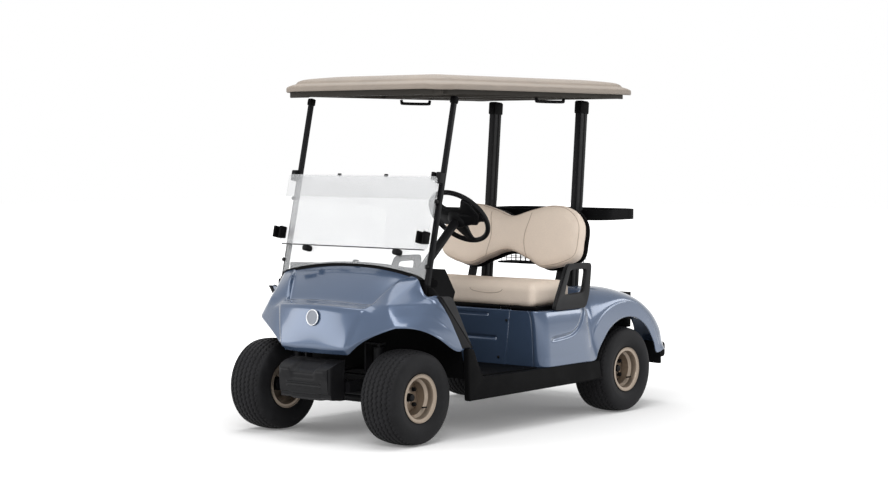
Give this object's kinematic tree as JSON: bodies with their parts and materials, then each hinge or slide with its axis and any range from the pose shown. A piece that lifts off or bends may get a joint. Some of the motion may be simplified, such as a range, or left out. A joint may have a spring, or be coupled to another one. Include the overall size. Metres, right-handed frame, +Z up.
{
  "type": "golf cart, two-seat, petrol, with roof and folding windshield",
  "caption": "Two-seat golf cart with a hard roof, folding windshield, bench seat and open bag deck, on wide turf tyres.",
  "frame": {"origin": "on the ground under the middle of the whole vehicle's box", "axes": "+Z up, nose towards -Y, driver's side +X"},
  "size_m": [1.191, 2.38, 1.78],
  "materials": {
    "body_blue": "gloss metallic",
    "roof_stone": "satin",
    "roof_underside": "matte",
    "seat_vinyl": "soft satin",
    "textured_black": "grained",
    "trim_grey": "grained",
    "soft_black": "matte",
    "strut_black": "satin",
    "chassis_black": "satin",
    "cast_metal": "cast",
    "bare_steel": "zinc plated",
    "rim_paint": "satin metallic",
    "tyre_rubber": "matte",
    "clear_pane": "clear"
  },
  "bodies": {
    "root": {"frame": "chassis_black", "front_axle": "chassis_black", "rear_axle": "cast_metal", "rack_housing": "chassis_black", "engine": "cast_metal", "floor": "textured_black", "springs": "chassis_black", "front_cowl": "body_blue", "dash": "textured_black", "front_bumper": "textured_black", "steering_column": "chassis_black", "pedals": "soft_black", "seat_hinges": "bare_steel", "seat_back": "seat_vinyl", "seat_back_shell": "textured_black", "seat_back_supports": "chassis_black", "rear_body": "body_blue", "access_panel": "body_blue", "bag_well": "textured_black", "rear_bumper": "textured_black", "mud_flaps": "soft_black", "canopy": "roof_stone", "canopy_frame": "roof_underside", "grab_handles": "textured_black", "windshield_lower": "clear_pane", "windshield_clips": "textured_black", "bag_holder": "textured_black", "sweater_basket": "textured_black", "sills": "textured_black", "pillar_trims": "trim_grey", "hip_restraints": "textured_black", "front_struts": "strut_black", "rear_struts": "strut_black"},
    "steering": {"steering_wheel": "soft_black", "card_clip": "textured_black"},
    "rack": {"steering_rack": "bare_steel"},
    "knuckle_l": {"knuckle_left": "chassis_black"},
    "knuckle_r": {"knuckle_right": "chassis_black"},
    "wheel_fl": {"tyre_front_left": "tyre_rubber", "rim_front_left": "rim_paint"},
    "wheel_fr": {"tyre_front_right": "tyre_rubber", "rim_front_right": "rim_paint"},
    "wheel_rl": {"tyre_rear_left": "tyre_rubber", "rim_rear_left": "rim_paint"},
    "wheel_rr": {"tyre_rear_right": "tyre_rubber", "rim_rear_right": "rim_paint"},
    "upper_pane": {"windshield_upper": "clear_pane", "windshield_hinges": "textured_black"},
    "seat_lid": {"seat_cushion": "seat_vinyl", "seat_pan": "textured_black"}
  },
  "joints": [
    {"name": "steering_turn", "type": "hinge", "parent": "root", "child": "steering", "pos_m": [0.26, -0.309, 1.068], "axis": [0, 0.7547, 0.6561], "range_deg": [-540, 540]},
    {"name": "knuckle_left_turn", "type": "hinge", "parent": "root", "child": "knuckle_l", "pos_m": [0.345, -0.93, 0.2286], "axis": [0, 0, 1], "range_deg": [-27, 27]},
    {"name": "knuckle_right_turn", "type": "hinge", "parent": "root", "child": "knuckle_r", "pos_m": [-0.345, -0.93, 0.2286], "axis": [0, 0, 1], "range_deg": [-27, 27]},
    {"name": "rack_slide", "type": "slide", "parent": "root", "child": "rack", "axis": [-1, 0, 0], "range_m": [-0.046, 0.046]},
    {"name": "wheel_front_left_spin", "type": "hinge", "parent": "knuckle_l", "child": "wheel_fl", "pos_m": [0.437, -0.93, 0.2286], "axis": [1, 0, 0], "continuous": true},
    {"name": "wheel_front_right_spin", "type": "hinge", "parent": "knuckle_r", "child": "wheel_fr", "pos_m": [-0.437, -0.93, 0.2286], "axis": [1, 0, 0], "continuous": true},
    {"name": "wheel_rear_left_spin", "type": "hinge", "parent": "root", "child": "wheel_rl", "pos_m": [0.49, 0.71, 0.2286], "axis": [1, 0, 0], "continuous": true},
    {"name": "wheel_rear_right_spin", "type": "hinge", "parent": "root", "child": "wheel_rr", "pos_m": [-0.49, 0.71, 0.2286], "axis": [1, 0, 0], "continuous": true},
    {"name": "windshield_fold", "type": "hinge", "parent": "root", "child": "upper_pane", "pos_m": [0, -0.73355, 1.28948], "axis": [-1, 0, 0], "range_deg": [0, 178]},
    {"name": "seat_tilt", "type": "hinge", "parent": "root", "child": "seat_lid", "pos_m": [0, -0.012, 0.594], "axis": [1, 0, 0], "range_deg": [0, 75]}
  ],
  "couplings": [
    {"joint": "knuckle_left_turn", "follows": "steering_turn", "ratio": 0.05},
    {"joint": "knuckle_right_turn", "follows": "steering_turn", "ratio": 0.05},
    {"joint": "rack_slide", "follows": "steering_turn", "m_per_rad": 0.0048171}
  ]
}
